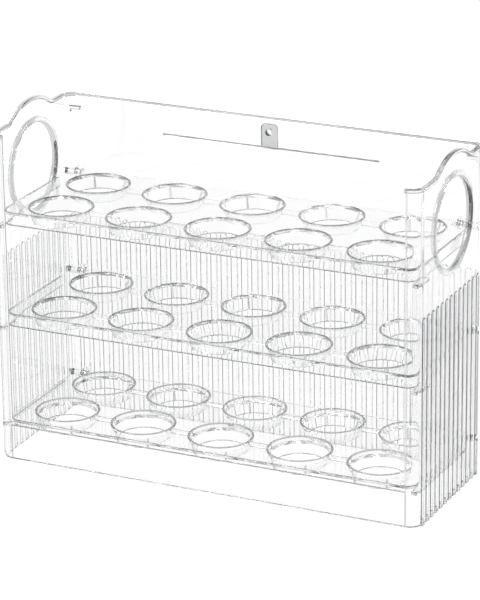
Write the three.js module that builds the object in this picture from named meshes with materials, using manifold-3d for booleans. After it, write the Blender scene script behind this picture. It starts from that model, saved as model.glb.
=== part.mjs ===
// Clear plastic egg rack for a refrigerator: a tall open-fronted housing that holds three
// flip-up trays of ten egg cups, each tray hung at its rear corners on two push-in pivot pins.
// Millimetres, +Z up, +X right, -Y towards the open front, origin at the bottom centre.

import * as THREE from 'three';
import { mergeVertices } from 'three/addons/utils/BufferGeometryUtils.js';
import Module from 'manifold-3d';

const wasm = await Module();
wasm.setup();

// ---- Driving dimensions -------------------------------------------------------------------

const WIDTH = 265;            // over the reeds
const DEPTH = 96.2;           // from the front posts to the reeds on the back
const RIM_HEIGHT = 196.5;     // level part of the upper rim
const CORNER_RADIUS = 8.6;    // vertical corners, outside
const WALL = 1.8;             // wall thickness of the housing
const REED_PROUD = 1.2;       // how far the reeds and rim lip stand out of the wall
const REED_WIDTH = 4.6;
const REED_PITCH = 6.6;
const REED_TOP = 122.3;       // top of each reed's round end
const RIM_LIP = 2.2;          // height of the lip along the upper rim
const POST_FACE = 9.6;        // width of each front post, seen from the front
const APRON_HEIGHT = 21.2;    // low front wall under the bottom tray

const RING_Y = 2;             // finger ring in each side wall
const RING_Z = 163.6;
const RING_OUTER = 29.4;
const RING_INNER = 25.6;
const RING_SIDES = 32;
const RING_PROUD = 1.2;       // how far the ring stands out of both faces of the wall
const HUMP_RADIUS = 41;       // arched rim over the ring, about the ring's centre
const HUMP_FILLET = 12;       // hollow curve where the arch meets the level rim

const CUP_RIM_HEIGHTS = [26.3, 89.7, 151.2];   // cup rims of the bottom, middle and top trays
const CUP_PITCH_X = 49.5;
const CUP_PITCH_Y = 46;
const CUPS_ACROSS = 5;
const CUP_RIM_RADIUS = 19.4;
const CUP_FOOT_RADIUS = 15.8;
const CUP_WALL = 1.4;
const CUP_DEPTH = 8.4;
const BOTTOM_CUP_DEPTH = 9.7;
const CUP_SIDES = 18;
const SIDE_GAP = 1.7;         // between tray edge and housing wall, which clears the ring,
const FRONT_GAP = 0.9;        // and the same in front
const REAR_GAP = 1.3;         // and behind
const TRAY_CORNER = 8;
const TRAY_REAR_CORNER = 2;
const DECK = 1.8;             // thickness of a tray's deck
const SKIRT_DROP = 8.6;       // bottom of the upper two trays' skirts, below the cup rims
const SKIRT_REAR_Y = 26;      // the side skirts stop here
const CUP_STAND = 0.6;        // the upper trays' cup rims stand this far above their decks
const BOTTOM_CUP_STAND = 2.8; // and the bottom tray's this far above its own
const WEB = 1.2;              // thickness of the webs that join neighbouring cups
const WEB_HEIGHT = 4.4;
const WEB_DROP = 1;           // top of the webs, below the cup rims

const PIVOT_INSET = 5;        // pivot axis in front of the back wall's inner face
const PIN_RADIUS = 1.9;
const PIN_HEAD_RADIUS = 2.7;
const PIN_HEAD = 1.6;
const LUG_RADIUS = 4.3;
const LUG_THICK = 2.4;
const LUG_X = 119.6;          // inner face of each tray lug
const LUG_ROOT = 9;           // how far the lug runs forward along the deck
const NOTCH = 6.5;            // the deck is cut away this far in front of the pins,
const NOTCH_X = 116.8;        // from here outwards
const RUN_GAP = 0.3;          // clearance all round a pin, and under a resting tray

const LEDGE = 2;              // thickness of the ledges that the trays rest on
const LEDGE_BACK = 15;        // how far a corner ledge runs back along the side wall
const LEDGE_REACH = 3.2;      // how far a ledge stands in from the side wall
const NIB_Z = 187;            // small catches in the two rear corners
const NIB_PROUD = 1.6;
const NIB_X = 125;
const NIB_WIDTH = 8;
const NIB_HEIGHT = 2;
const NIB_LEG = 2;            // width of the leg at its outer end,
const NIB_DROP = 1.6;         // which hangs this far below it
const STRAP_Z = 178.4;        // thin bar across the back, under the hanging tab
const STRAP_HALF = 68;
const STRAP_HEIGHT = 1.2;
const TAB_WIDTH = 10.4;
const TAB_CORNER = 2.8;       // round top corners of the tab
const TAB_TOP = 192;
const TAB_HOLE_RADIUS = 2.1;
const TAB_HOLE_Z = 187.2;

// ---- Worked-out dimensions ----------------------------------------------------------------

const WALL_X = WIDTH / 2 - REED_PROUD;   // smooth outside faces
const WALL_Y = DEPTH / 2 - REED_PROUD;
const INNER_X = WALL_X - WALL;
const INNER_Y = WALL_Y - WALL;
const WALL_CORNER = CORNER_RADIUS - REED_PROUD;
const TRAY_X = INNER_X - SIDE_GAP;
const TRAY_FRONT = -(INNER_Y - FRONT_GAP);
const TRAY_REAR = INNER_Y - REAR_GAP;
const PIVOT_Y = INNER_Y - PIVOT_INSET;
const TRAY_MID_Y = (TRAY_FRONT + TRAY_REAR) / 2;
const OVERLAP = 0.5;                     // how deep joined shapes reach into each other

// ---- Solids -------------------------------------------------------------------------------

function toSolid(geometry) {
  const bare = geometry.clone();
  bare.deleteAttribute('normal');
  bare.deleteAttribute('uv');
  const merged = mergeVertices(bare, 1e-4);
  const mesh = new wasm.Mesh({
    numProp: 3,
    vertProperties: new Float32Array(merged.attributes.position.array),
    triVerts: new Uint32Array(merged.index.array),
  });
  return new wasm.Manifold(mesh);
}

function toGeometry(solid) {
  const mesh = solid.getMesh();
  const geometry = new THREE.BufferGeometry();
  geometry.setAttribute('position', new THREE.BufferAttribute(mesh.vertProperties, 3));
  geometry.setIndex(new THREE.BufferAttribute(mesh.triVerts, 1));
  geometry.computeVertexNormals();
  return geometry;
}

function ordered(first, second) {
  return first < second ? [first, second] : [second, first];
}

function join(solids) {
  return solids.reduce((sum, next) => sum.add(next));
}

function box(xLow, xHigh, yLow, yHigh, zLow, zHigh) {
  const geometry = new THREE.BoxGeometry(xHigh - xLow, yHigh - yLow, zHigh - zLow);
  geometry.translate((xLow + xHigh) / 2, (yLow + yHigh) / 2, (zLow + zHigh) / 2);
  return toSolid(geometry);
}

// A flat outline in the X-Y plane, raised from one height to another.
function raised(shape, zLow, zHigh, curveSegments = 3) {
  const options = { depth: zHigh - zLow, bevelEnabled: false, curveSegments };
  return toSolid(new THREE.ExtrudeGeometry(shape, options).translate(0, 0, zLow));
}

// An outline drawn as (Y, Z), thickened along X from one side to the other.
function sideways(shape, xLow, xHigh, curveSegments = 6) {
  const options = { depth: xHigh - xLow, bevelEnabled: false, curveSegments };
  const turn = new THREE.Matrix4().makeBasis(
    new THREE.Vector3(0, 1, 0), new THREE.Vector3(0, 0, 1), new THREE.Vector3(1, 0, 0));
  const geometry = new THREE.ExtrudeGeometry(shape, options).applyMatrix4(turn);
  return toSolid(geometry.translate(xLow, 0, 0));
}

// A round bar along X.
function barAlongX(radius, xLow, xHigh, y, z, sides = 20) {
  const geometry = new THREE.CylinderGeometry(radius, radius, xHigh - xLow, sides);
  geometry.rotateZ(Math.PI / 2);
  return toSolid(geometry.translate((xLow + xHigh) / 2, y, z));
}

// A rectangle with a rounded corner at each end of its front edge and of its rear edge.
function roundedRectangle(xHalf, yLow, yHigh, frontRadius, rearRadius = frontRadius) {
  const shape = new THREE.Shape();
  shape.moveTo(-xHalf + frontRadius, yLow);
  shape.lineTo(xHalf - frontRadius, yLow);
  shape.absarc(xHalf - frontRadius, yLow + frontRadius, frontRadius, -Math.PI / 2, 0, false);
  shape.lineTo(xHalf, yHigh - rearRadius);
  shape.absarc(xHalf - rearRadius, yHigh - rearRadius, rearRadius, 0, Math.PI / 2, false);
  shape.lineTo(-xHalf + rearRadius, yHigh);
  shape.absarc(-xHalf + rearRadius, yHigh - rearRadius, rearRadius, Math.PI / 2, Math.PI, false);
  shape.lineTo(-xHalf, yLow + frontRadius);
  shape.absarc(-xHalf + frontRadius, yLow + frontRadius, frontRadius, Math.PI, Math.PI * 1.5, false);
  return shape;
}

// ---- Housing ------------------------------------------------------------------------------

function wallTube(outset, zLow, zHigh) {
  const outerX = WALL_X + outset;
  const outerY = WALL_Y + outset;
  const outer = roundedRectangle(outerX, -outerY, outerY, WALL_CORNER + outset);
  const inner = roundedRectangle(INNER_X, -INNER_Y, INNER_Y, WALL_CORNER - WALL);
  const cutter = raised(inner, zLow - 1, zHigh + 1);
  return raised(outer, zLow, zHigh).subtract(cutter);
}

// The region under the arched rim of a side wall, as (Y, Z), with its edge lowered by `inset`.
function archShape(inset) {
  const edge = RIM_HEIGHT - inset;
  const radius = HUMP_RADIUS - inset;
  const fillet = HUMP_FILLET + inset;
  const rise = edge + fillet - RING_Z;
  const reach = Math.sqrt((radius + fillet) ** 2 - rise ** 2);
  const lean = Math.asin(reach / (radius + fillet));
  const down = -Math.PI / 2;
  const up = Math.PI / 2;
  const shape = new THREE.Shape();
  shape.moveTo(RING_Y - reach, edge - 3 * RIM_LIP);
  shape.lineTo(RING_Y - reach, edge);
  shape.absarc(RING_Y - reach, edge + fillet, fillet, down, down + lean, false);
  shape.absarc(RING_Y, RING_Z, radius, up + lean, up - lean, true);
  shape.absarc(RING_Y + reach, edge + fillet, fillet, down - lean, down, false);
  shape.lineTo(RING_Y + reach, edge - 3 * RIM_LIP);
  return shape;
}

// The arched rim and the disc that the finger hole is cut in, on one side wall.
function archAndRing(side) {
  const inner = side * INNER_X;
  const outer = side * WALL_X;
  const proud = side * (WALL_X + REED_PROUD);
  const panel = sideways(archShape(0), ...ordered(inner, outer));
  const lip = sideways(archShape(0), ...ordered(inner, proud))
    .subtract(sideways(archShape(RIM_LIP), ...ordered(inner - side, proud + side)));
  const across = ordered(side * (INNER_X - RING_PROUD), side * (WALL_X + RING_PROUD));
  const ring = barAlongX(RING_OUTER, ...across, RING_Y, RING_Z, RING_SIDES);
  return join([panel, lip, ring]);
}

// Where the reeds stand: evenly along the wall's outside, from one front corner round the back
// to the other. Each place is a point on the wall and the direction that faces out.
function reedPlaces() {
  const flatSide = 2 * (WALL_Y - WALL_CORNER);
  const flatBack = 2 * (WALL_X - WALL_CORNER);
  const corner = WALL_CORNER * Math.PI / 2;
  const length = 2 * flatSide + flatBack + 2 * corner;
  const count = Math.floor(length / REED_PITCH);
  const places = [];
  for (let i = 0; i <= count; i += 1) {
    let along = length * i / count - length / 2;
    const side = Math.sign(along) || 1;
    along = Math.abs(along);
    let x = along;
    let y = WALL_Y;
    let facing = 0;
    if (along > flatBack / 2) {
      const turned = Math.min((along - flatBack / 2) / WALL_CORNER, Math.PI / 2);
      facing = turned;
      x = flatBack / 2 + WALL_CORNER * Math.sin(turned);
      y = flatSide / 2 + WALL_CORNER * Math.cos(turned);
      y -= Math.max(along - flatBack / 2 - corner, 0);
    }
    places.push({ x: side * x, y, facing: -side * facing });
  }
  return places;
}

// One reed: a flat bar up the wall with a round top.
function reed({ x, y, facing }) {
  const half = REED_WIDTH / 2;
  const shape = new THREE.Shape();
  shape.moveTo(-half, 0);
  shape.lineTo(half, 0);
  shape.lineTo(half, REED_TOP - half);
  shape.absarc(0, REED_TOP - half, half, 0, Math.PI, false);
  const options = { depth: REED_PROUD + OVERLAP, bevelEnabled: false, curveSegments: 2 };
  const geometry = new THREE.ExtrudeGeometry(shape, options);
  geometry.rotateX(Math.PI / 2);
  geometry.translate(0, REED_PROUD, 0);
  geometry.rotateZ(facing);
  return toSolid(geometry.translate(x, y, 0));
}

// Height of a tray's deck, and of its pivot axis in the middle of the deck, below its cup rims.
function deckTopOf(skirted) {
  return skirted ? -CUP_STAND : -BOTTOM_CUP_STAND;
}

function pivotOf(skirted) {
  return deckTopOf(skirted) - DECK / 2;
}

// Corner shelves under the two skirted trays, and a shelf along each side under the plain one.
function ledges() {
  const parts = [];
  for (const side of [-1, 1]) {
    const across = ordered(side * (INNER_X + OVERLAP), side * (INNER_X - LEDGE_REACH));
    for (const tier of [1, 2]) {
      const top = CUP_RIM_HEIGHTS[tier] - SKIRT_DROP - RUN_GAP;
      parts.push(box(...across, -INNER_Y - OVERLAP, -INNER_Y + LEDGE_BACK, top - LEDGE, top));
    }
    const top = CUP_RIM_HEIGHTS[0] - BOTTOM_CUP_STAND - DECK - RUN_GAP;
    parts.push(box(...across, -INNER_Y - OVERLAP, SKIRT_REAR_Y, top - LEDGE, top));
  }
  return parts;
}

// Small catches on the inside of the back wall, one near each side, with a leg at the outer end.
function nibs() {
  return [-1, 1].map((side) => {
    const outer = side * (NIB_X + NIB_WIDTH / 2);
    const along = [INNER_Y - NIB_PROUD, INNER_Y + OVERLAP];
    const across = ordered(outer, outer - side * NIB_WIDTH);
    const leg = ordered(outer, outer - side * NIB_LEG);
    return box(...across, ...along, NIB_Z, NIB_Z + NIB_HEIGHT)
      .add(box(...leg, ...along, NIB_Z - NIB_DROP, NIB_Z + NIB_HEIGHT));
  });
}

// The eye that the rack can be hung by, on the outside of the back wall, over a thin bar.
function hangingTab() {
  const low = WALL_Y - OVERLAP;
  const high = WALL_Y + REED_PROUD;
  const strap = box(-STRAP_HALF, STRAP_HALF, low, high, STRAP_Z - STRAP_HEIGHT, STRAP_Z);
  const half = TAB_WIDTH / 2;
  const shoulder = TAB_TOP - TAB_CORNER;
  const shape = new THREE.Shape();
  shape.moveTo(-half, STRAP_Z - OVERLAP);
  shape.lineTo(half, STRAP_Z - OVERLAP);
  shape.absarc(half - TAB_CORNER, shoulder, TAB_CORNER, 0, Math.PI / 2, false);
  shape.absarc(-half + TAB_CORNER, shoulder, TAB_CORNER, Math.PI / 2, Math.PI, false);
  const options = { depth: high - low, bevelEnabled: false, curveSegments: 4 };
  const geometry = new THREE.ExtrudeGeometry(shape, options);
  geometry.rotateX(Math.PI / 2);
  return [strap, toSolid(geometry.translate(0, high, 0))];
}

function hangingHole() {
  const geometry = new THREE.CylinderGeometry(TAB_HOLE_RADIUS, TAB_HOLE_RADIUS, 12, 20);
  return toSolid(geometry.translate(0, WALL_Y, TAB_HOLE_Z));
}

function housing() {
  let solid = join([
    wallTube(0, 0, RIM_HEIGHT - OVERLAP),
    wallTube(REED_PROUD, RIM_HEIGHT - RIM_LIP, RIM_HEIGHT),
    archAndRing(1),
    archAndRing(-1),
    ...reedPlaces().map(reed),
  ]);
  const opening = WIDTH / 2 - POST_FACE;
  const front = -INNER_Y + OVERLAP;
  solid = solid.subtract(box(-opening, opening, -DEPTH, front, APRON_HEIGHT, RIM_HEIGHT + 1));
  solid = join([solid, ...ledges(), ...nibs(), ...hangingTab()]);
  solid = solid.subtract(hangingHole());
  solid = solid.subtract(barAlongX(RING_INNER, -WIDTH, WIDTH, RING_Y, RING_Z, RING_SIDES));
  CUP_RIM_HEIGHTS.forEach((rim, tier) => {
    const z = rim + pivotOf(tier > 0);
    solid = solid.subtract(barAlongX(PIN_RADIUS + RUN_GAP, -WIDTH, WIDTH, PIVOT_Y, z, 16));
  });
  return toGeometry(solid);
}

// ---- Trays --------------------------------------------------------------------------------
// Tray geometry has z = 0 at its cup rims.

function cupCentres() {
  const centres = [];
  for (let column = 0; column < CUPS_ACROSS; column += 1) {
    for (const row of [-1, 1]) {
      const x = (column - (CUPS_ACROSS - 1) / 2) * CUP_PITCH_X;
      centres.push([x, TRAY_MID_Y + row * CUP_PITCH_Y / 2]);
    }
  }
  return centres;
}

// A turned shape about Z from its (radius, height) outline, which closes on the axis.
function turned(points, x, y) {
  const outline = points.map(([radius, z]) => new THREE.Vector2(radius, z));
  const geometry = new THREE.LatheGeometry(outline, CUP_SIDES);
  geometry.rotateX(Math.PI / 2);
  return toSolid(geometry.translate(x, y, 0));
}

// The whole cone of a cup, inset from its outer face and run on past both ends by `extra`.
function cupCone(x, y, depth, inset, extra) {
  const slope = (CUP_RIM_RADIUS - CUP_FOOT_RADIUS) / depth;
  const top = CUP_RIM_RADIUS - inset + slope * extra;
  const foot = CUP_FOOT_RADIUS - inset - slope * extra;
  const low = -depth - extra;
  return turned([[0, low], [foot, low], [top, extra], [0, extra]], x, y);
}

function skirt(outline, inner) {
  const wall = raised(outline, -SKIRT_DROP, -CUP_STAND - DECK + OVERLAP)
    .subtract(raised(inner, -SKIRT_DROP - 1, 0));
  return wall.subtract(box(-WIDTH, WIDTH, SKIRT_REAR_Y, DEPTH, -SKIRT_DROP - 1, 1));
}

// A lug at each rear corner, with the pin's bore through it.
function lugs(skirted) {
  const deckTop = deckTopOf(skirted);
  return [-1, 1].map((side) => {
    const across = ordered(side * LUG_X, side * (LUG_X + LUG_THICK));
    const eye = barAlongX(LUG_RADIUS, ...across, PIVOT_Y, pivotOf(skirted), 20);
    const root = box(...across, PIVOT_Y - LUG_ROOT, PIVOT_Y, deckTop - DECK, deckTop);
    return eye.add(root);
  });
}

// Thin upright webs along each row of cups, joining each cup to the next.
function webs() {
  const half = CUP_PITCH_X * (CUPS_ACROSS - 1) / 2;
  return [-1, 1].map((row) => {
    const y = TRAY_MID_Y + row * CUP_PITCH_Y / 2;
    return box(-half, half, y - WEB / 2, y + WEB / 2, -WEB_DROP - WEB_HEIGHT, -WEB_DROP);
  });
}

function tray(skirted) {
  const deckTop = deckTopOf(skirted);
  const depth = skirted ? CUP_DEPTH : BOTTOM_CUP_DEPTH;
  const outline = roundedRectangle(TRAY_X, TRAY_FRONT, TRAY_REAR, TRAY_CORNER, TRAY_REAR_CORNER);
  const inner = roundedRectangle(
    TRAY_X - CUP_WALL, TRAY_FRONT + CUP_WALL, TRAY_REAR, TRAY_CORNER - CUP_WALL, 1);
  let solid = raised(outline, deckTop - DECK, deckTop);
  for (const side of [-1, 1]) {
    const outside = ordered(side * NOTCH_X, side * WIDTH);
    solid = solid.subtract(box(...outside, PIVOT_Y - NOTCH, DEPTH, -20, 5));
  }
  if (skirted) solid = solid.add(skirt(outline, inner));
  const centres = cupCentres();
  const cups = centres.map(([x, y]) => cupCone(x, y, depth, 0, 0));
  solid = join([solid, ...cups, ...webs(), ...lugs(skirted)]);
  for (const [x, y] of centres) {
    solid = solid.subtract(cupCone(x, y, depth, CUP_WALL, 2));
  }
  for (const side of [-1, 1]) {
    const throughLug = ordered(side * NOTCH_X, side * WIDTH);
    solid = solid.subtract(barAlongX(PIN_RADIUS + RUN_GAP, ...throughLug, PIVOT_Y, pivotOf(skirted), 16));
  }
  return toGeometry(solid);
}

// ---- Pivot pins ---------------------------------------------------------------------------

// Right-hand pin, lying along X from its round head inside the lug to the wall's outer face.
function pivotPin() {
  const head = LUG_X - RUN_GAP - PIN_HEAD;
  const collar = LUG_X - RUN_GAP;
  const outline = [
    [0, head], [PIN_HEAD_RADIUS * 0.7, head], [PIN_HEAD_RADIUS, head + 0.5], [PIN_HEAD_RADIUS, collar],
    [PIN_RADIUS, collar], [PIN_RADIUS, WALL_X - 0.4], [PIN_RADIUS - 0.4, WALL_X], [0, WALL_X],
  ];
  const points = outline.map(([radius, along]) => new THREE.Vector2(radius, along));
  const geometry = new THREE.LatheGeometry(points, 12);
  geometry.rotateZ(-Math.PI / 2);
  return toGeometry(toSolid(geometry));
}

// ---- Assembly -----------------------------------------------------------------------------

function clearPlastic(colour) {
  return new THREE.MeshStandardMaterial({
    color: colour, roughness: 0.08, metalness: 0, transparent: true, opacity: 0.35,
  });
}

function piece(name, geometry, colour) {
  const mesh = new THREE.Mesh(geometry, clearPlastic(colour));
  mesh.name = name;
  return mesh;
}

const rack = new THREE.Group();
rack.add(piece('housing', housing(), 0xe9edf0));

const pinShape = pivotPin();
['tray_bottom', 'tray_middle', 'tray_top'].forEach((name, tier) => {
  const level = new THREE.Group();
  level.position.z = CUP_RIM_HEIGHTS[tier];
  level.add(piece(name, tray(tier > 0), 0xf2f5f7));
  const rightPin = piece(`${name}_pin_right`, pinShape, 0xdfe5e9);
  rightPin.position.set(0, PIVOT_Y, pivotOf(tier > 0));
  const leftPin = piece(`${name}_pin_left`, pinShape, 0xdfe5e9);
  leftPin.position.copy(rightPin.position);
  leftPin.rotation.z = Math.PI;
  level.add(rightPin, leftPin);
  rack.add(level);
});

export default rack;
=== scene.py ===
"""Clear plastic three-tier egg rack: the finished surfaces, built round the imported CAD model.

Lengths are in millimetres and are turned into metres where a mesh is made. +X is to the right,
-Y is the open front and +Z is up. Each moulding is one closed solid with rounded edges.
"""

import math

import bmesh
import bpy
from mathutils import Matrix, Vector


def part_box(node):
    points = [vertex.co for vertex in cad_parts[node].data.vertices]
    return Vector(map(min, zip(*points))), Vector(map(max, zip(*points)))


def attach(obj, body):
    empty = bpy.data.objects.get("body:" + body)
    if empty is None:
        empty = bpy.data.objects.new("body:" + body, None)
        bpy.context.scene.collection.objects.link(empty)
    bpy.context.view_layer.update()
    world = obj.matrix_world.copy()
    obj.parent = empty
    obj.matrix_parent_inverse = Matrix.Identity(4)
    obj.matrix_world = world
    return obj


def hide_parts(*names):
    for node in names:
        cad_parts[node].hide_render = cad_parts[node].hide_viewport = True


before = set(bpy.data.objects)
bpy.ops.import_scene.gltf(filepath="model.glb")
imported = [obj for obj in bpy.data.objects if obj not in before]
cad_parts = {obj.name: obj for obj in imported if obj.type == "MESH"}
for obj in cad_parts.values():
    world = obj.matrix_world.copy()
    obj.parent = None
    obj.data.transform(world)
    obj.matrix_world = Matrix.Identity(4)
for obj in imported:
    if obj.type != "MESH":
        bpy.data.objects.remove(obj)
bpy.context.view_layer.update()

MM = 0.001                      # metres in a millimetre


def millimetres(vector):
    return Vector(vector) / MM


# ---- Places taken from the frame --------------------------------------------------------------

HOUSING_HIGH = millimetres(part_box("housing")[1])
HALF_WIDTH = math.floor(HOUSING_HIGH.x * 2) / 2     # the turned corner reeds reach a hair further
HALF_DEPTH = HOUSING_HIGH.y
HEIGHT = HOUSING_HIGH.z

TRAYS = ["tray_bottom", "tray_middle", "tray_top"]

# ---- Driving dimensions -----------------------------------------------------------------------

WALL = 1.8                      # thickness of the housing's walls
PROUD = 1.2                     # how far the reeds and rim lip stand out
CORNER = 7.4                    # vertical corners, outside of the smooth wall
EDGE = 0.4                      # rounding of moulded edges
POST_FACE = 9.6                 # width of a front post
APRON_HEIGHT = 21.2
APRON_FILLET = 4

RIM = 196.5                     # height of the rim between the arches
HUMP_RADIUS = 41                # arch in the rim over each ring,
HUMP_FILLET = 12                # and the fillets beside it
RING_Y = 2
RING_OUTER = 29.4
RING_INNER = 25.6
RING_PROUD = 1.2                # how far a ring stands out of both faces of its wall
RING_EDGE = 1.7                 # all but round in section
LIP_HEIGHT = 2.2
LIP_EDGE = 0.45                 # rounding of its upper edges,
LIP_FOOT = 1                    # and of its lower one

REED_WIDTH = 4.8
REED_PITCH = 6.6                # as near as a whole number of reeds allows
REED_TOP = 122.3

SINK = 0.5                      # how far a piece that is joined on reaches into its neighbour,
DEEP_SINK = 0.8                 # and where more of it can be hidden
CLEAR = 5                       # how far a piece that cuts runs past what it cuts
HAIR = 0.01                     # stands for nothing, where a solid needs a face

DECK = 1.8
SIDE_GAP = 1.7                  # between a tray's edge and the walls: beside it, which clears
FRONT_GAP = 0.9                 # the ring, in front,
REAR_GAP = 1.3                  # and behind
TRAY_CORNER = 8
TRAY_REAR_CORNER = 2
LEAST_CORNER = 0.3              # where a tray's rounded edge goes round its rear corners
SKIRT_DROP = 8.6
SKIRT_REAR_Y = 26
SKIRT_WALL = 1.4
CUP_STAND = 0.6                 # how far the cups' rims stand over the upper trays' decks,
BOTTOM_CUP_STAND = 2.8          # and over the bottom tray's
CUP_STANDS = (BOTTOM_CUP_STAND, CUP_STAND, CUP_STAND)
CUP_PITCH_X = 49.5
CUP_PITCH_Y = 46
CUPS_ACROSS = 5
CUP_RIM = 19.4                  # outside radius at the rim,
CUP_FOOT = 15.8                 # and at the foot
CUP_WALL = 1.4
CUP_BEVEL = 0.2                 # round the foot
CUP_DEPTH = 8.4
BOTTOM_CUP_DEPTH = 9.7
WEB = 1.2
WEB_HEIGHT = 4.4
WEB_DROP = 1
WEB_EDGE = 0.3
GUSSET = 1.1
GUSSET_REACH = 1.08
GUSSET_ROOT = 0.84
GUSSET_EDGE = 0.35
GUSSET_ANGLES = (125, 55)       # round a cup of the rear row, mirrored for the front one
NOTCH = 6.5                     # the deck is cut away this far in front of the pins,
NOTCH_X = 116.8                 # from here outwards

PIN_RADIUS = 1.9
PIN_HEAD_RADIUS = 2.7
PIN_HEAD = 1.6                  # length of the head
PIN_HEAD_SIDE = 0.3             # straight part of the head, under its dome
PIN_HEAD_BEVEL = 0.2
PIN_TIP_BEVEL = 0.4
RUN_GAP = 0.3                   # clearance all round a pin, and under a resting tray
LUG_RADIUS = 4.3
LUG_X = 119.6                   # inner face of a lug
LUG_THICK = 2.4
LUG_ROOT = 9                    # how far a lug runs forward along the deck
LUG_EDGE = 0.2

LEDGE = 2
LEDGE_BACK = 15
LEDGE_REACH = 3.2
NIB_Z = 187                     # the catches in the rear corners
NIB_X = 125
NIB_SIZE = (8, 1.6, 2)
NIB_LEG = 2                     # width of the leg at a nib's outer end,
NIB_DROP = 1.6                  # which hangs this far below it
STRAP_Z = 178.4                 # top of the thin bar across the back
STRAP_HALF = 68
STRAP_HEIGHT = 1.2
TAB_WIDTH = 10.4
TAB_CORNER = 2.8
TAB_TOP = 192
TAB_HOLE = 2.1
TAB_HOLE_Z = 187.2

# ---- Worked-out dimensions --------------------------------------------------------------------

WALL_X = HALF_WIDTH - PROUD     # smooth outside faces
WALL_Y = HALF_DEPTH - PROUD
INNER_X = WALL_X - WALL
INNER_Y = WALL_Y - WALL
RING_Z = HEIGHT - HUMP_RADIUS
POST_X = HALF_WIDTH - POST_FACE     # inner edges of the front posts
TRAY_X = INNER_X - SIDE_GAP
TRAY_FRONT = -(INNER_Y - FRONT_GAP)
TRAY_REAR = INNER_Y - REAR_GAP
TRAY_MID_Y = (TRAY_FRONT + TRAY_REAR) / 2


# ---- Mesh tools -------------------------------------------------------------------------------

EDGE_FACE = 0.4                 # faces narrower than this are the rounding of an edge
WELD = 0.002                    # points nearer than this are one point
SMOOTH_TO = 38                  # degrees between faces that are still shaded as one
SURFACES = ["face", "edge", "reed", "ring"]
PLACEHOLDERS = [bpy.data.materials.new(name + "_unfinished") for name in SURFACES]


def make(name, rings, closed=False, edges=(), surfaces=("face", "edge"), edge_face=EDGE_FACE):
    """A closed solid lofted through rings of points, with both ends filled unless it closes.

    Faces narrower than `edge_face` are the rounding of an edge. They take the second of the
    surfaces, and so do the faces that start at the places in the ring that `edges` lists. The
    others take the first.
    """
    broad_slot, narrow_slot = (SURFACES.index(surface) for surface in surfaces)
    mesh = bmesh.new()
    rows = [[mesh.verts.new(Vector(p) * MM) for p in ring] for ring in rings]
    count = len(rows[0])
    pairs = list(zip(rows, rows[1:]))
    if closed:
        pairs.append((rows[-1], rows[0]))
    for low, high in pairs:
        for i in range(count):
            j = (i + 1) % count
            face = mesh.faces.new((low[i], low[j], high[j], high[i]))
            sides = [edge.calc_length() for edge in face.edges]
            narrow = min(sides[0] + sides[2], sides[1] + sides[3]) / 2 < edge_face * MM
            face.material_index = narrow_slot if narrow or i in edges else broad_slot
    if not closed:
        for end in (list(reversed(rows[0])), rows[-1]):
            mesh.faces.new(end).material_index = broad_slot
    bmesh.ops.recalc_face_normals(mesh, faces=mesh.faces)
    data = bpy.data.meshes.new(name)
    mesh.to_mesh(data)
    mesh.free()
    for material in PLACEHOLDERS:
        data.materials.append(material)
    thing = bpy.data.objects.new(name, data)
    bpy.context.scene.collection.objects.link(thing)
    return thing


def together(things):
    """Several separate solids as one object, none of them touching another."""
    first = things[0]
    mesh = bmesh.new()
    for thing in things:
        mesh.from_mesh(thing.data)
    mesh.to_mesh(first.data)
    mesh.free()
    for thing in things[1:]:
        bpy.data.objects.remove(thing)
    return first


def combine(base, other, operation):
    """Joins `other` to `base`, or cuts it away, and uses it up."""
    modifier = base.modifiers.new("combine", "BOOLEAN")
    modifier.operation = operation
    modifier.solver = "MANIFOLD"
    modifier.material_mode = "INDEX"
    modifier.object = other
    graph = bpy.context.evaluated_depsgraph_get()
    mesh = bpy.data.meshes.new_from_object(base.evaluated_get(graph))
    base.modifiers.clear()
    base.data = mesh
    bpy.data.objects.remove(other)
    return base


def joined(base, *others):
    for other in others:
        combine(base, other, "UNION")
    return base


def cut(base, *others):
    for other in others:
        combine(base, other, "DIFFERENCE")
    return base


def arc(centre, radius, start, end, steps):
    """Points on an arc in a plane, both ends included, with the angles in degrees."""
    points = []
    for i in range(steps + 1):
        angle = math.radians(start + (end - start) * i / steps)
        points.append((centre[0] + radius * math.cos(angle), centre[1] + radius * math.sin(angle)))
    return points


def rounded_outline(low_x, high_x, low_y, high_y, front, rear=None, steps=8):
    """A rectangle with round corners, anticlockwise; front and rear corners may differ."""
    rear = front if rear is None else rear
    return (
        arc((high_x - front, low_y + front), front, -90, 0, steps)
        + arc((high_x - rear, high_y - rear), rear, 0, 90, steps)
        + arc((low_x + rear, high_y - rear), rear, 90, 180, steps)
        + arc((low_x + front, low_y + front), front, 180, 270, steps)
    )


def rounded_block(low, high, radius=EDGE, steps=3):
    """A block with all its edges rounded."""
    rings = []
    for end, swing in (("low", (90, 0)), ("high", (0, 90))):
        for across, along in arc((0, 0), radius, *swing, steps):
            z = low[2] + radius - along if end == "low" else high[2] - radius + along
            inset = radius - across
            outline = rounded_outline(
                low[0] + inset, high[0] - inset, low[1] + inset, high[1] - inset,
                max(radius - inset, 2 * HAIR), steps=steps)
            rings.append([(x, y, z) for x, y in outline])
    return make("block", rings)


def circle(centre, radius, sides):
    """Points all round a circle in a plane."""
    return arc(centre, radius, 0, 360 - 360 / sides, sides - 1)


def bar_along_x(radius, low_x, high_x, y, z, sides=48):
    ring = circle((y, z), radius, sides)
    return make("bar", [[(x, p, q) for p, q in ring] for x in (low_x, high_x)])


def bar_along_y(radius, x, z, low_y, high_y, sides=40):
    ring = circle((x, z), radius, sides)
    return make("bar", [[(p, y, q) for p, q in ring] for y in (low_y, high_y)])


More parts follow.
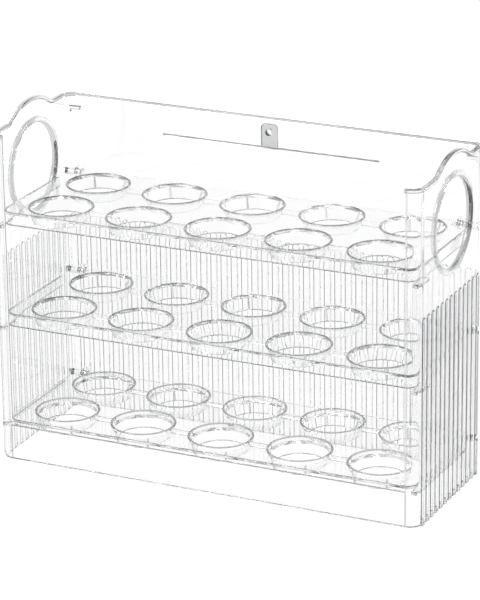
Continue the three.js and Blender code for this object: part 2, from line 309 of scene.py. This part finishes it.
def turned(profile, centre, sides=72):
    """A closed profile of (radius, height) turned about an upright axis."""
    rings = []
    for i in range(sides):
        angle = 2 * math.pi * i / sides
        c, s = math.cos(angle), math.sin(angle)
        rings.append([(centre[0] + r * c, centre[1] + r * s, centre[2] + h) for r, h in profile])
    return make("turned", rings, closed=True)


# ---- Housing ----------------------------------------------------------------------------------

def arch_line():
    """The arched rim over a finger ring, as (Y, Z) from the front to the rear."""
    rise = RIM + HUMP_FILLET - RING_Z
    reach = math.sqrt((HUMP_RADIUS + HUMP_FILLET) ** 2 - rise ** 2)
    lean = math.degrees(math.asin(reach / (HUMP_RADIUS + HUMP_FILLET)))
    top = RIM + HUMP_FILLET
    front = arc((RING_Y - reach, top), HUMP_FILLET, -90, -90 + lean, 8)
    over = arc((RING_Y, RING_Z), HUMP_RADIUS, 90 + lean, 90 - lean, 24)
    rear = arc((RING_Y + reach, top), HUMP_FILLET, -90 - lean, -90, 8)
    return front + over[1:-1] + rear


def rim_path():
    """Stations round the rim from the left post to the right one: place and outward direction."""
    path = []
    corner_x = WALL_X - CORNER
    corner_y = WALL_Y - CORNER
    right = [(POST_X, -WALL_Y, RIM, 0, -1)]
    for x, y in arc((corner_x, -corner_y), CORNER, -90, 0, 10):
        right.append((x, y, RIM, (x - corner_x) / CORNER, (y + corner_y) / CORNER))
    for y, z in arch_line():
        right.append((WALL_X, y, z, 1, 0))
    for x, y in arc((corner_x, corner_y), CORNER, 0, 90, 10):
        right.append((x, y, RIM, (x - corner_x) / CORNER, (y - corner_y) / CORNER))
    for x, y, z, nx, ny in right:
        path.append((-x, y, z, -nx, ny))
    return path + list(reversed(right))


def walls():
    """The back, the two sides and the front posts, up to just inside the rim lip."""
    rings = []
    path = rim_path()
    bend = EDGE * 0.3           # the middle of the rounding at the foot
    low = [(-EDGE, 0), (-bend, bend), (0, EDGE)]
    for index, (x, y, z, nx, ny) in enumerate(path):
        end = index in (0, len(path) - 1)
        top = z - LIP_HEIGHT / 2
        section = [(0, top)] + [(o, h) for o, h in reversed(low)]
        section += [(-WALL - o, h) for o, h in low] + [(-WALL, top)]
        ring = [(x + nx * o, y + ny * o, h) for o, h in section]
        if not end:
            rings.append(ring)
            continue
        # The free edge of a post is round as seen from above.
        inwards = 1 if x < 0 else -1
        mid = -WALL / 2
        rounding = []
        for turn in (0, 30, 60, 85):
            shrink = math.cos(math.radians(turn))
            step = inwards * mid * (1 - math.sin(math.radians(turn)))
            rounding.append([
                (x + step, y + ny * (mid + (o - mid) * shrink), h) for o, h in section])
        rings.extend(reversed(rounding) if index == 0 else rounding)
    return make("walls", rings)


def rim_lip():
    """The lip that runs along the whole upper rim, over the arches too."""
    section = rounded_outline(-WALL, PROUD, -LIP_HEIGHT, 0, LIP_FOOT, LIP_EDGE, 4)
    path = rim_path()
    places = [Vector(p[:3]) for p in path]
    rings = []
    for index, (x, y, z, nx, ny) in enumerate(path):
        before = places[max(index - 1, 0)]
        after = places[min(index + 1, len(path) - 1)]
        tangent = (after - before).normalized()
        out = Vector((nx, ny, 0))
        up = out.cross(tangent)
        if up.z < 0:
            up.negate()
        rings.append([places[index] + out * o + up * u for o, u in section])
    # the lip's rounded edges take the rings' painted shade
    return make("lip", rings, surfaces=("face", "ring"))


def finger_ring(side):
    """The thick round-edged ring in a side wall, round about an axis along X."""
    steps = 9
    sides = 192
    section = rounded_outline(
        RING_INNER, RING_OUTER, INNER_X - RING_PROUD, WALL_X + RING_PROUD, RING_EDGE, steps=steps)
    bore = range(2 * steps + 4, 4 * steps + 1)      # the part of the section that faces inwards
    rings = []
    for i in range(sides):
        angle = 2 * math.pi * i / sides
        rings.append([
            (side * x, RING_Y + r * math.cos(angle), RING_Z + r * math.sin(angle))
            for r, x in section])
    # the ring's outer faces take the reeds' painted grey, its bore the rings' darker painted shade
    return make("ring", rings, closed=True, edges=bore, surfaces=("reed", "ring"), edge_face=0)


def reed_places():
    """Points on the wall's outside, a reed apart, from one front corner round the back."""
    flat_side = 2 * (WALL_Y - CORNER)
    flat_back = 2 * (WALL_X - CORNER)
    corner = CORNER * math.pi / 2
    length = 2 * flat_side + flat_back + 2 * corner
    count = math.floor(length / REED_PITCH)
    places = []
    for i in range(count + 1):
        along = length * i / count - length / 2
        side = 1 if along >= 0 else -1
        along = abs(along)
        x, y, facing = along, WALL_Y, 0.0
        if along > flat_back / 2:
            facing = min((along - flat_back / 2) / CORNER, math.pi / 2)
            x = flat_back / 2 + CORNER * math.sin(facing)
            y = flat_side / 2 + CORNER * math.cos(facing)
            y -= max(along - flat_back / 2 - corner, 0)
        places.append((side * x, y, side * facing))
    return places


def reed(place):
    """One reed: a bar with a rounded front and a round, domed top."""
    half = REED_WIDTH / 2
    bow = (half ** 2 + PROUD ** 2) / (2 * PROUD)
    spread = math.degrees(math.asin(half / bow))
    steps = 10
    front = arc((0, PROUD - bow), bow, 90 - spread, 90 + spread, steps)
    outline = [(half, -SINK)] + front + [(-half, -SINK)]
    x, y, facing = place
    out = (math.sin(facing), math.cos(facing))
    across = (math.cos(facing), -math.sin(facing))
    shoulder = REED_TOP - half
    rings = []
    dome = arc((0, 0), 1, 0, 84, 7)
    heights = [(0, 1)] + [(shoulder + half * s, c) for c, s in dome]
    # these faces take the housing edge's painted shade
    corners = (1, steps)        # the front's outermost faces
    for height, narrow in heights:
        ring = []
        for u, v in outline:
            relief = v if v <= 0 else v * narrow
            ring.append((
                x + across[0] * u * narrow + out[0] * relief,
                y + across[1] * u * narrow + out[1] * relief, height))
        rings.append(ring)
    return make("reed", rings, edges=corners, surfaces=("reed", "edge"))


def apron():
    """The low front wall, with a fillet where it meets each post."""
    reach = POST_X + 2 * SINK
    plate = rounded_block((-reach, -WALL_Y, 0), (reach, -INNER_Y, APRON_HEIGHT))
    corners = []
    for side in (-1, 1):
        curve = arc((-APRON_FILLET, APRON_FILLET), APRON_FILLET, -90, 0, 8)
        outline = curve + [
            (DEEP_SINK, APRON_FILLET), (DEEP_SINK, -DEEP_SINK), (-APRON_FILLET, -DEEP_SINK)]
        rings = []
        for y in (-WALL_Y + EDGE / 2, -INNER_Y - EDGE / 2):
            rings.append([(side * (POST_X + u), y, APRON_HEIGHT + v) for u, v in outline])
        corners.append(make("fillet", rings))
    return plate, corners


def ledges(rims):
    """Ledges under the trays: short ones for the skirts, and long ones for the bottom tray."""
    blocks = []
    front = -INNER_Y - SINK
    for side in (-1, 1):
        near, far = sorted((side * (INNER_X + SINK), side * (INNER_X - LEDGE_REACH)))
        for rim in rims[1:]:
            top = rim - SKIRT_DROP - RUN_GAP
            blocks.append(rounded_block(
                (near, front, top - LEDGE), (far, -INNER_Y + LEDGE_BACK, top)))
        top = rims[0] - BOTTOM_CUP_STAND - DECK - RUN_GAP
        blocks.append(rounded_block((near, front, top - LEDGE), (far, SKIRT_REAR_Y, top)))
    return together(blocks)


def nibs():
    """The catches in the rear corners: a bar each, and a leg at its outer end."""
    wide, proud, high = NIB_SIZE
    bars, legs = [], []
    for side in (-1, 1):
        outer = side * (NIB_X + wide / 2)
        for parts, width, low in ((bars, wide, NIB_Z), (legs, NIB_LEG, NIB_Z - NIB_DROP)):
            left, right = sorted((outer, outer - side * width))
            parts.append(rounded_block(
                (left, INNER_Y - proud, low), (right, INNER_Y + DEEP_SINK, NIB_Z + high)))
    return together(bars), together(legs)


def hanging_tab():
    """A thin bar across the back with an eye standing on it."""
    low_y, high_y = WALL_Y - SINK, WALL_Y + PROUD
    strap = rounded_block(
        (-STRAP_HALF, low_y, STRAP_Z - STRAP_HEIGHT), (STRAP_HALF, high_y, STRAP_Z))
    half = TAB_WIDTH / 2
    centre = half - TAB_CORNER
    shoulder = TAB_TOP - TAB_CORNER
    foot = STRAP_Z - STRAP_HEIGHT / 2
    rings = []
    for across, along in [(1, None)] + arc((0, 0), 1, 0, 90, 3):
        inset = EDGE * (1 - across)
        y = low_y if along is None else high_y - EDGE * (1 - along)
        right = arc((centre, shoulder), TAB_CORNER - inset, 0, 90, 8)
        left = arc((-centre, shoulder), TAB_CORNER - inset, 90, 180, 8)
        outline = [(half - inset, foot)] + right + left + [(inset - half, foot)]
        rings.append([(x, y, z) for x, z in outline])
    # the tab takes the rings' painted shade, its rounded edges the housing edge's
    return strap, make("tab", rings, surfaces=("ring", "edge"))


def housing(rims, pivots):
    """The whole housing, for trays whose rims and pivots are at these places."""
    base = walls()
    plate, corners = apron()
    joined(base, plate, *corners)
    hole = (RING_INNER + RING_OUTER) / 2
    reach = HALF_WIDTH + CLEAR
    cut(base, bar_along_x(hole, -reach, reach, RING_Y, RING_Z, 96))
    joined(base, together([finger_ring(1), finger_ring(-1)]))
    joined(base, rim_lip(), together([reed(p) for p in reed_places()]))
    joined(base, ledges(rims), *nibs(), *hanging_tab())
    cut(base, bar_along_y(TAB_HOLE, 0, TAB_HOLE_Z, INNER_Y - CLEAR, HALF_DEPTH + CLEAR))
    for pivot in pivots:
        cut(base, bar_along_x(PIN_RADIUS + RUN_GAP, -reach, reach, *pivot))
    return base


# ---- Trays ------------------------------------------------------------------------------------

def cup_centres():
    """Where a tray's cups stand, as (X, Y)."""
    middle = (CUPS_ACROSS - 1) / 2
    return [
        ((column - middle) * CUP_PITCH_X, TRAY_MID_Y + row * CUP_PITCH_Y / 2)
        for column in range(CUPS_ACROSS) for row in (-1, 1)]


def tray_outline(inset, steps=10):
    """A tray's edge as seen from above, drawn in by `inset`."""
    return rounded_outline(
        -TRAY_X + inset, TRAY_X - inset, TRAY_FRONT + inset, TRAY_REAR - inset,
        TRAY_CORNER - inset, max(TRAY_REAR_CORNER - inset, LEAST_CORNER), steps)


def flat_deck(top):
    """The bottom tray's plate, with rounded edges."""
    rings = []
    for across, along in arc((0, 0), EDGE, 90, 0, 3):
        rings.append((EDGE - across, top - DECK + EDGE - along))
    for across, along in arc((0, 0), EDGE, 0, 90, 3):
        rings.append((EDGE - across, top - EDGE + along))
    return make("deck", [[(x, y, z) for x, y in tray_outline(i)] for i, z in rings])


def skirted_deck(top, rim):
    """The upper trays' deck with its skirt turned down round the front and sides."""
    foot = rim - SKIRT_DROP
    round_off = SKIRT_WALL / 2
    stations = [(SKIRT_WALL, top - DECK)]
    for across, along in arc((0, 0), round_off, 180, 360, 8):
        stations.append((round_off - across, foot + round_off + along))
    for across, along in arc((0, 0), EDGE, 0, 90, 3):
        stations.append((EDGE - across, top - EDGE + along))
    pan = make("deck", [[(x, y, z) for x, y in tray_outline(i)] for i, z in stations])
    wide = TRAY_X + CLEAR
    behind = rounded_block(
        (-wide, SKIRT_REAR_Y, foot - CLEAR), (wide, TRAY_REAR + CLEAR, top - DECK))
    return cut(pan, behind)


def cup_wall(centre, rim, depth):
    """A cup's sloping wall with a round lip, open at the foot."""
    slope = (CUP_RIM - CUP_FOOT) / depth
    lip = CUP_WALL / 2
    profile = [
        (CUP_FOOT - CUP_WALL + CUP_BEVEL, -depth), (CUP_FOOT - CUP_BEVEL, -depth),
        (CUP_FOOT, -depth + CUP_BEVEL)]
    for across, along in arc((0, 0), lip, 0, 180, 8):
        radius = CUP_RIM - lip - slope * lip
        profile.append((radius + across, -lip + along))
    profile.append((CUP_FOOT - CUP_WALL, -depth + CUP_BEVEL))
    return turned(profile, (centre[0], centre[1], rim))


def cup_cutter(centre, rim, depth):
    """Clears the deck inside a cup, out to the middle of the cup's wall."""
    slope = (CUP_RIM - CUP_FOOT) / depth
    mid = CUP_WALL / 2
    below, above = 2, 3         # how far it runs past the cup at either end
    low = (-depth - below, CUP_FOOT - mid - below * slope)
    high = (above, CUP_RIM - mid + above * slope)
    rings = [
        [(x, y, rim + z) for x, y in circle(centre, radius, 72)] for z, radius in (low, high)]
    return make("cutter", rings)


def gusset(centre, rim, depth, low, high, angle):
    """A small upright fin on the outside of a cup's wall."""
    turn = math.radians(angle)
    out = (math.cos(turn), math.sin(turn))
    across = (-out[1], out[0])
    slope = (CUP_RIM - CUP_FOOT) / depth
    section = rounded_outline(
        -GUSSET_ROOT, GUSSET_REACH, -GUSSET / 2, GUSSET / 2, GUSSET_EDGE, steps=3)
    rings = []
    for z in (low, high):
        face = CUP_FOOT + slope * (z - (rim - depth))
        ring = []
        for u, v in section:
            ring.append((
                centre[0] + out[0] * (face + u) + across[0] * v,
                centre[1] + out[1] * (face + u) + across[1] * v, z))
        rings.append(ring)
    return make("gusset", rings)


def webs(rim):
    """Thin upright webs between neighbouring cups of each row."""
    plates = []
    reach = CUP_RIM - CUP_WALL
    top = rim - WEB_DROP
    last = max(x for x, y in cup_centres())
    for x, y in cup_centres():
        if x < last:
            plates.append(rounded_block(
                (x + reach, y - WEB / 2, top - WEB_HEIGHT),
                (x + CUP_PITCH_X - reach, y + WEB / 2, top), WEB_EDGE, 2))
    return together(plates)


def lugs(top, pivot):
    """The eyes at the rear corners that the pins go through."""
    eyes, roots = [], []
    y, z = pivot
    for side in (-1, 1):
        low, high = sorted((side * LUG_X, side * (LUG_X + LUG_THICK)))
        eyes.append(bar_along_x(LUG_RADIUS, low, high, y, z))
        roots.append(rounded_block(
            (low, y - LUG_ROOT, top - DECK), (high, y, top), LUG_EDGE, 2))
    return together(eyes), together(roots)


def tray(rim, pivot, skirted):
    """A tray whose cups' rims are at the height `rim`."""
    top = rim - (CUP_STAND if skirted else BOTTOM_CUP_STAND)
    depth = CUP_DEPTH if skirted else BOTTOM_CUP_DEPTH
    base = skirted_deck(top, rim) if skirted else flat_deck(top)
    notches = []
    for side in (-1, 1):
        low, high = sorted((side * NOTCH_X, side * (TRAY_X + 2 * CLEAR)))
        notches.append(rounded_block(
            (low, pivot[0] - NOTCH, rim - 4 * CLEAR), (high, TRAY_REAR + 2 * CLEAR, rim + CLEAR)))
    cut(base, together(notches))
    centres = cup_centres()
    joined(base, webs(rim))
    cut(base, together([cup_cutter(c, rim, depth) for c in centres]))
    joined(base, together([cup_wall(c, rim, depth) for c in centres]))
    foot = rim - depth + CUP_BEVEL / 2
    fins = []
    for c in centres:
        way = -1 if c[1] < 0 else 1
        for angle in GUSSET_ANGLES:
            fins.append(gusset(c, rim, depth, foot, top - DECK / 2, way * angle))
    joined(base, together(fins))
    joined(base, *lugs(top, pivot))
    bores = []
    for side in (-1, 1):
        low, high = sorted((side * (NOTCH_X + SINK), side * (TRAY_X + 2 * CLEAR)))
        bores.append(bar_along_x(PIN_RADIUS + RUN_GAP, low, high, *pivot))
    return cut(base, together(bores))


# ---- Pins -------------------------------------------------------------------------------------

def pin(side, pivot):
    """A push-in pin: a domed head inside the lug and a shank out through the wall."""
    collar = LUG_X - RUN_GAP
    crown = collar - PIN_HEAD
    base = collar - PIN_HEAD_SIDE
    profile = [(HAIR, crown)]
    for across, along in arc((0, 0), 1, 80, 0, 8):
        profile.append((PIN_HEAD_RADIUS * across, base - (base - crown) * along))
    profile += [
        (PIN_HEAD_RADIUS, collar - PIN_HEAD_BEVEL), (PIN_HEAD_RADIUS - PIN_HEAD_BEVEL, collar),
        (PIN_RADIUS, collar), (PIN_RADIUS, WALL_X - PIN_TIP_BEVEL),
        (PIN_RADIUS - PIN_TIP_BEVEL, WALL_X), (HAIR, WALL_X)]
    rings = [[(side * x, y, z) for y, z in circle(pivot, radius, 40)] for radius, x in profile]
    return make("pin", rings, surfaces=("face", "face"))


# ---- Materials --------------------------------------------------------------------------------

# What each surface lets through, where the plastic is clearest and where it is dullest. Rounded
# edges are polished less well than flat faces. The grey of the reeds, the rings and the rounded
# edges is painted shade, standing in for the darker lines that refraction draws there. The rings'
# painted grey is also that of the rim lip's edges and of the hanging tab.
FACE_TINT = (0.985, 0.988, 0.99), (0.995, 0.995, 0.995)
# painted shade: light grey on the reeds and on the rings' outer faces
REED_PAINTED_SHADE = (0.88, 0.885, 0.89), (0.94, 0.945, 0.95)
# painted shade: darker grey on the rings' bores, the rim lip's rounded edges and the hanging tab
RING_PAINTED_SHADE = (0.3, 0.31, 0.32), (0.46, 0.47, 0.48)
# painted shade: near-black on the housing's rounded edges, the reeds' outer corners and the tab's
# edges
HOUSING_EDGE_PAINTED_SHADE = (0.04, 0.042, 0.045), (0.09, 0.095, 0.1)
# painted shade: dark grey on the trays' rounded edges
TRAY_EDGE_PAINTED_SHADE = (0.2, 0.205, 0.21), (0.32, 0.325, 0.33)
PIN_TINT = (0.85, 0.86, 0.87), (0.92, 0.92, 0.92)

IOR = 1.5
TRAY_IOR = 1.52

# Each pattern's scale and detail, and for a bump also its strength and its depth in millimetres.
FLOW = (22, 2)                  # where the tint changes
HAZE = (60, 5)                  # where the polish does
WAVES = (55, 1, 0.12, 0.4)      # of the mould's surface
SCRATCHES = (900, 3, 0.05, 0.03)
PATTERN_SPREAD = (0.3, 0.7)     # the values that a noise pattern mostly takes


def link(tree, source, output, target, socket):
    tree.links.new(source.outputs[output], target.inputs[socket])


def noise(tree, place, scale, detail):
    node = tree.nodes.new("ShaderNodeTexNoise")
    node.inputs["Scale"].default_value = scale
    node.inputs["Detail"].default_value = detail
    link(tree, place, "Object", node, "Vector")
    return node


def ranged(tree, source, low, high):
    """The source's values spread from low to high."""
    node = tree.nodes.new("ShaderNodeMapRange")
    node.inputs["From Min"].default_value = PATTERN_SPREAD[0]
    node.inputs["From Max"].default_value = PATTERN_SPREAD[1]
    node.inputs["To Min"].default_value = low
    node.inputs["To Max"].default_value = high
    link(tree, source, "Fac", node, "Value")
    return node


def bump(tree, place, scale, detail, strength, depth):
    node = tree.nodes.new("ShaderNodeBump")
    node.inputs["Strength"].default_value = strength
    node.inputs["Distance"].default_value = depth * MM
    link(tree, noise(tree, place, scale, detail), "Fac", node, "Height")
    return node


def clear_plastic(name, tint, shade, ior, smooth, dull):
    """Clear moulded plastic: faint flow waves, handling haze and tiny scratches.

    The tint is where it is clearest and the shade where it is dullest, and `smooth` and `dull`
    are the roughness at its best and at its worst polished.
    """
    material = bpy.data.materials.new(name)
    material.use_nodes = True
    tree = material.node_tree
    shader = tree.nodes["Principled BSDF"]
    shader.inputs["Transmission Weight"].default_value = 1
    shader.inputs["IOR"].default_value = ior
    place = tree.nodes.new("ShaderNodeTexCoord")

    flow = noise(tree, place, *FLOW)
    colour = tree.nodes.new("ShaderNodeMix")
    colour.data_type = "RGBA"
    colour.inputs["A"].default_value = (*tint, 1)
    colour.inputs["B"].default_value = (*shade, 1)
    link(tree, ranged(tree, flow, 0, 1), "Result", colour, "Factor")
    tree.links.new(colour.outputs["Result"], shader.inputs["Base Color"])

    haze = noise(tree, place, *HAZE)
    link(tree, ranged(tree, haze, smooth, dull), "Result", shader, "Roughness")

    waves = bump(tree, place, *WAVES)
    scratches = bump(tree, place, *SCRATCHES)
    link(tree, waves, "Normal", scratches, "Normal")
    link(tree, scratches, "Normal", shader, "Normal")
    return material


def weld(data):
    """Merges points that all but fall together, then cuts the faces into well-shaped triangles."""
    mesh = bmesh.new()
    mesh.from_mesh(data)
    bmesh.ops.remove_doubles(mesh, verts=mesh.verts, dist=WELD * MM)
    bmesh.ops.dissolve_degenerate(mesh, dist=WELD * MM, edges=mesh.edges)
    bmesh.ops.triangulate(
        mesh, faces=mesh.faces, quad_method="BEAUTY", ngon_method="BEAUTY")
    mesh.to_mesh(data)
    mesh.free()


def finish_piece(thing, name, materials, body, slot, *nodes):
    """Smooth shading that keeps flat faces flat, then the piece's place in the assembly."""
    thing.name = name
    thing.data.name = name
    for index, material in enumerate(materials):
        thing.data.materials[index] = material
    while len(thing.data.materials) > len(materials):
        thing.data.materials.pop()
    weld(thing.data)
    thing.data.shade_smooth()
    thing.data.set_sharp_from_angle(angle=math.radians(SMOOTH_TO))
    weighted = thing.modifiers.new("weighted", "WEIGHTED_NORMAL")
    weighted.keep_sharp = True
    graph = bpy.context.evaluated_depsgraph_get()
    mesh = bpy.data.meshes.new_from_object(thing.evaluated_get(graph))
    thing.modifiers.clear()
    thing.data = mesh
    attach(thing, body)
    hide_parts(*nodes)


# ---- Assembly ---------------------------------------------------------------------------------

def assemble():
    pivots = []
    for name in TRAYS:
        low, high = (millimetres(v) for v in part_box(name + "_pin_right"))
        pivots.append(((low.y + high.y) / 2, (low.z + high.z) / 2))
    rims = [pivot[1] + DECK / 2 + stand for pivot, stand in zip(pivots, CUP_STANDS)]

    shell = clear_plastic("housing_clear", *FACE_TINT, IOR, 0.015, 0.06)
    # painted shade: the housing's rounded edges, reed corners and tab edges are drawn dark
    rim = clear_plastic("housing_edge_painted_shade", *HOUSING_EDGE_PAINTED_SHADE, IOR, 0.04, 0.12)
    # painted shade: light grey on the reeds
    reeded = clear_plastic("housing_reeds_painted_shade", *REED_PAINTED_SHADE, IOR, 0.02, 0.08)
    # painted shade: grey on the rings, the lip's edges and the tab
    bead = clear_plastic("housing_rings_painted_shade", *RING_PAINTED_SHADE, IOR, 0.02, 0.08)
    clear = clear_plastic("tray_clear", *FACE_TINT, TRAY_IOR, 0.012, 0.05)
    # painted shade: grey on the trays' rounded edges
    edge = clear_plastic("tray_edge_painted_shade", *TRAY_EDGE_PAINTED_SHADE, TRAY_IOR, 0.03, 0.1)
    stud = clear_plastic("pin_clear", *PIN_TINT, IOR, 0.02, 0.08)
    finish_piece(
        housing(rims, pivots), "rack_housing", (shell, rim, reeded, bead), "housing",
        "housing_plastic", "housing")
    for tier, name in enumerate(TRAYS):
        moulding = tray(rims[tier], pivots[tier], tier > 0)
        finish_piece(moulding, name + "_moulding", (clear, edge), name, "tray_plastic", name)
        for side, word in ((1, "right"), (-1, "left")):
            node = f"{name}_pin_{word}"
            stem = pin(side, pivots[tier])
            finish_piece(stem, node + "_turned", [stud], name, "pin_plastic", node)


# ---- Stage, light and camera ------------------------------------------------------------------

FLOOR_RADIUS = 6000
FLOOR_DROP = 0.2                # keeps it just clear of the rack
FLOOR_GREY = 0.25
FLOOR_GLOW = 0.775              # with the light on the floor, it comes out just white

# Where the world's grey changes, as the sine of the height over the horizon, and the grey there.
SKY = [(0.0, 0.95), (0.4, 0.9), (0.5, 0.42), (0.8, 0.36), (0.92, 0.42), (1.0, 0.9)]
AIM = (0, 0, 100)

CAMERA_TURN = (25.57, 19.94, -0.76)     # degrees: to the right, upwards, and about its own axis
CAMERA_DISTANCE = 1920.3
CAMERA_LENS = 202.3
CAMERA_SENSOR = 36
CAMERA_SHIFT = (0.0058, 0.0010)
CAMERA_CLIP = (0.05, 50)        # metres

BOUNCES = 32                    # enough to see through every wall, cup and reed


def floor():
    rings = []
    for radius in (HAIR / 10, FLOOR_RADIUS):
        rings.append([(x, y, -FLOOR_DROP) for x, y in circle((0, 0), radius, 120)])
    thing = make("floor", rings)
    thing.data.materials.clear()
    material = bpy.data.materials.new("floor_pale")
    material.use_nodes = True
    shader = material.node_tree.nodes["Principled BSDF"]
    shader.inputs["Base Color"].default_value = (FLOOR_GREY, FLOOR_GREY, FLOOR_GREY, 1)
    shader.inputs["Roughness"].default_value = 0.9
    shader.inputs["Specular IOR Level"].default_value = 0
    shader.inputs["Emission Color"].default_value = (1, 1, 1, 1)
    shader.inputs["Emission Strength"].default_value = FLOOR_GLOW
    thing.data.materials.append(material)


def surroundings():
    """A studio that is pale near the floor and greyer above, with a bright soft ceiling."""
    world = bpy.data.worlds.new("studio")
    bpy.context.scene.world = world
    world.use_nodes = True
    tree = world.node_tree
    place = tree.nodes.new("ShaderNodeTexCoord")
    split = tree.nodes.new("ShaderNodeSeparateXYZ")
    ramp = tree.nodes.new("ShaderNodeValToRGB")
    link(tree, place, "Generated", split, "Vector")
    link(tree, split, "Z", ramp, "Fac")
    elements = ramp.color_ramp.elements
    while len(elements) < len(SKY):
        elements.new(0.5)
    for element, (at, value) in zip(elements, SKY):
        element.position = at
        element.color = (value, value, value, 1)
    link(tree, ramp, "Color", tree.nodes["Background"], "Color")
    tree.nodes["Background"].inputs["Strength"].default_value = 1


def soft_box(name, place, size, power):
    """A square or oblong lamp that is aimed at the middle of the rack."""
    lamp = bpy.data.lights.new(name, "AREA")
    lamp.shape = "RECTANGLE"
    lamp.size, lamp.size_y = (s * MM for s in size)
    lamp.energy = power
    thing = bpy.data.objects.new(name, lamp)
    bpy.context.scene.collection.objects.link(thing)
    thing.location = Vector(place) * MM
    aim = Vector(AIM) * MM - thing.location
    thing.rotation_euler = aim.to_track_quat("-Z", "Y").to_euler()


def camera():
    """Looks down on the rack's open front from a little to its right."""
    azimuth, elevation, roll = (math.radians(a) for a in CAMERA_TURN)
    back = Vector((
        math.sin(azimuth) * math.cos(elevation),
        -math.cos(azimuth) * math.cos(elevation),
        math.sin(elevation)))
    data = bpy.data.cameras.new("camera")
    data.sensor_width = CAMERA_SENSOR
    data.lens = CAMERA_LENS
    data.shift_x, data.shift_y = CAMERA_SHIFT
    data.clip_start, data.clip_end = CAMERA_CLIP
    thing = bpy.data.objects.new("camera", data)
    bpy.context.scene.collection.objects.link(thing)
    thing.location = (Vector(AIM) + back * CAMERA_DISTANCE) * MM
    turn = (-back).to_track_quat("-Z", "Y").to_matrix().to_4x4()
    spin = turn.to_3x3() @ Vector((0, 0, 1))
    turn = Matrix.Rotation(roll, 4, spin) @ turn
    thing.rotation_mode = "QUATERNION"
    thing.rotation_quaternion = turn.to_quaternion()
    bpy.context.scene.camera = thing


scene = bpy.context.scene
scene.view_settings.view_transform = "Standard"
scene.cycles.max_bounces = BOUNCES
scene.cycles.transmission_bounces = BOUNCES
scene.cycles.glossy_bounces = BOUNCES

assemble()
floor()
surroundings()
soft_box("key", (-900, -1100, 1500), (900, 900), 22)
soft_box("rim", (1100, 700, 1100), (700, 700), 10)
camera()
for material in PLACEHOLDERS:
    bpy.data.materials.remove(material)
